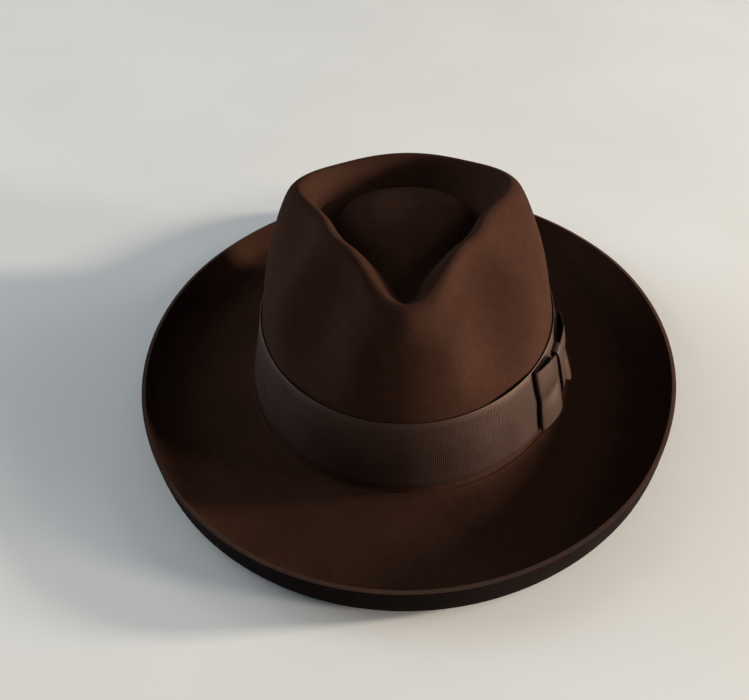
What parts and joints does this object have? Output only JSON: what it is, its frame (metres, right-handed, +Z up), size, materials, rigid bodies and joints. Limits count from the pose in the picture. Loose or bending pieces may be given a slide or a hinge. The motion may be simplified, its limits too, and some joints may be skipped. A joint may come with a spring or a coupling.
{
  "type": "fedora",
  "caption": "Felt fedora with a teardrop-creased, front-pinched crown, a curled-up brim edge, and a ribbon band with a flat side bow.",
  "frame": {"origin": "centre of the brim's outline, on the surface the hat stands on", "axes": "+Z up through the crown, -Y towards the front pinch, +X towards the wearer's left, where the bow is"},
  "size_m": [0.2914, 0.3426, 0.1165],
  "materials": {
    "felt": "soft brushed wool felt",
    "ribbon": "ribbed grosgrain with a dull silk sheen"
  },
  "bodies": {
    "root": {"felt_body": "felt", "ribbon_band": "ribbon", "bow_front_loop": "ribbon", "bow_rear_loop": "ribbon", "bow_knot": "ribbon"}
  },
  "joints": []
}
